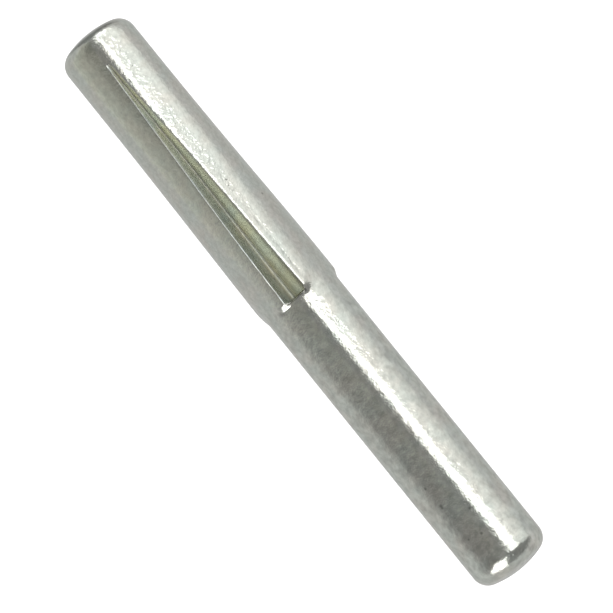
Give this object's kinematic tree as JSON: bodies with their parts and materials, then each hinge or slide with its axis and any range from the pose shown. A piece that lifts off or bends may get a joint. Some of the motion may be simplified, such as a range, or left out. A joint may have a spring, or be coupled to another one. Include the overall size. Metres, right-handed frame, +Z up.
{
  "type": "grooved pin",
  "caption": "Steel pin, plain for half its length and grooved for the other half, driven into a drilled hole and left standing as a pivot, stop or spring anchor.",
  "frame": {"origin": "on the surface that the pin lies on, under the middle of its length", "axes": "+X along the pin towards its plain end, +Z up, with one groove facing up"},
  "size_m": [0.0248, 0.0032, 0.0031],
  "materials": {
    "zinc_plate": "carbon steel with thin clear-passivated zinc plating, satin from tumbling, faint green-yellow tint in the grooves"
  },
  "bodies": {
    "root": {"grooved_pin": "zinc_plate"}
  },
  "joints": []
}
